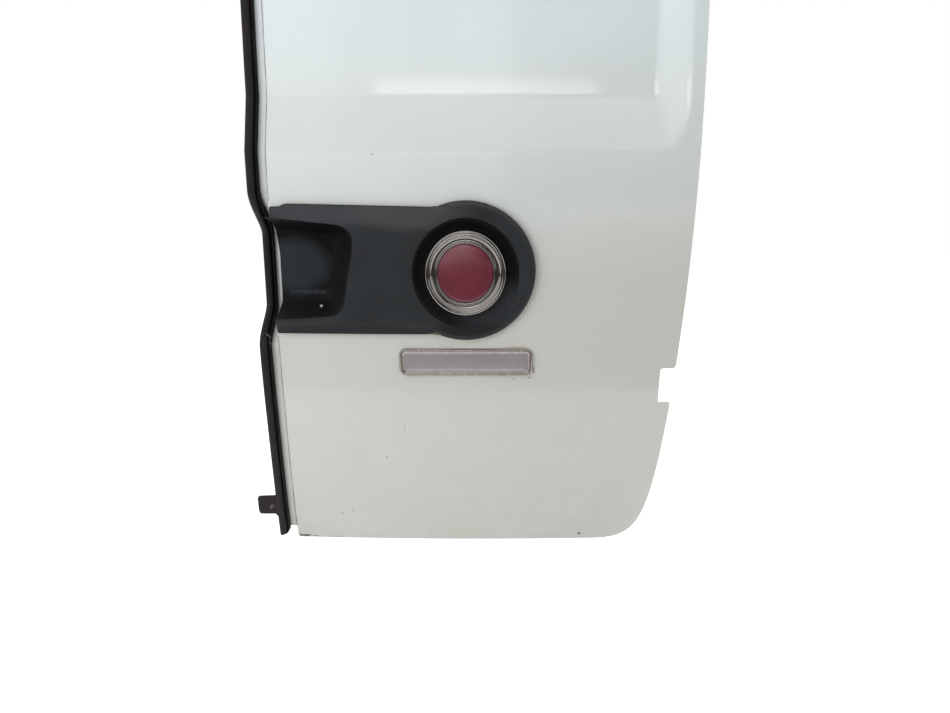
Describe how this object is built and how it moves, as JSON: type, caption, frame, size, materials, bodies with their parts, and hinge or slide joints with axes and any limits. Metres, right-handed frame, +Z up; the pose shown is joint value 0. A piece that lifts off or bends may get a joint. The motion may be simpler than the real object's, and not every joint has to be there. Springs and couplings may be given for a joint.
{
  "type": "campervan rear barn door",
  "caption": "Right hand rear barn door leaf of a camper van: white steel skin, black rubber edge seal, black hand scoop trim, bare hinge seats.",
  "frame": {"origin": "middle of the lower hinge seat's flat face, in the notch of the hinge side", "axes": "+X out of the hinge seats, away from the leaf; +Y into the vehicle, away from the outer face; +Z up"},
  "size_m": [0.8361, 0.1631, 1.86],
  "materials": {
    "white_paint": "aged gloss white paint on steel",
    "seal_rubber": "weathered black rubber",
    "grained_plastic": "fine grained black plastic",
    "smooth_plastic": "satin black plastic",
    "worn_chrome": "dulled chrome plating",
    "red_enamel": "dark red gloss face",
    "badge_face": "satin metallic face",
    "zinc_steel": "zinc plated steel",
    "grey_board": "grained grey trim board"
  },
  "bodies": {
    "root": {"outer_skin": "white_paint", "upper_rim": "white_paint", "hem": "white_paint", "upper_hem": "white_paint", "side_frame": "white_paint", "pillar_frame": "white_paint", "inner_panel": "white_paint", "panel_beads": "white_paint", "free_edge_flange": "white_paint", "free_edge_return": "white_paint", "seal_bulb": "seal_rubber", "seal_lip": "seal_rubber", "seal_lug": "seal_rubber", "handle_trim": "grained_plastic", "grip_cup": "smooth_plastic", "scoop_pressing": "white_paint", "emblem_seat": "grained_plastic", "emblem_bezel": "worn_chrome", "emblem_disc": "red_enamel", "badge_frame": "worn_chrome", "badge_plate": "badge_face", "hinge_seat_lower_pad": "white_paint", "hinge_seat_upper_pad": "white_paint", "nut_plate_lower": "zinc_steel", "nut_plate_upper": "zinc_steel", "crossbar": "white_paint", "latch_case": "zinc_steel", "latch_claw": "zinc_steel", "upper_bolt_case": "zinc_steel", "upper_bolt": "zinc_steel", "lower_bolt_case": "zinc_steel", "lower_bolt": "zinc_steel", "upper_rod": "zinc_steel", "lower_rod": "zinc_steel", "trim_board": "grey_board", "board_clips": "smooth_plastic", "release_bezel": "smooth_plastic", "release_lever": "smooth_plastic", "pull_handle": "smooth_plastic", "check_bracket": "zinc_steel", "edge_buffers": "seal_rubber", "drain_plugs": "seal_rubber", "blanking_grommets": "seal_rubber", "rod_guides": "smooth_plastic", "fixings": "zinc_steel"}
  },
  "joints": []
}
